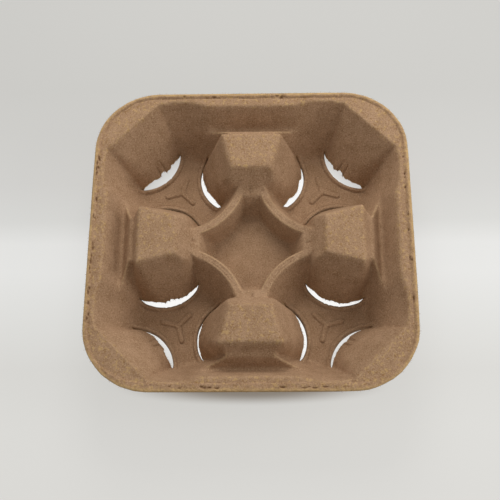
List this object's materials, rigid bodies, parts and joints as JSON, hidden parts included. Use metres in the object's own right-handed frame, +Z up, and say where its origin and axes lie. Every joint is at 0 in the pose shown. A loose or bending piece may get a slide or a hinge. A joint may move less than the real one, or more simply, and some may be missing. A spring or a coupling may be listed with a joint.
{
  "type": "moulded pulp cup carrier",
  "caption": "Square moulded pulp tray with cup pockets, springy slit fingers, raised posts between the pockets and a small basin in the middle.",
  "frame": {"origin": "middle of the base, in the plane of the pocket floors' undersides", "axes": "+Z up out of the pockets; +X and +Y along the two straight sides, which are alike"},
  "size_m": [0.215, 0.215, 0.045],
  "materials": {
    "pulp": "matte, fibrous"
  },
  "bodies": {
    "root": {"carrier": "pulp"}
  },
  "joints": []
}
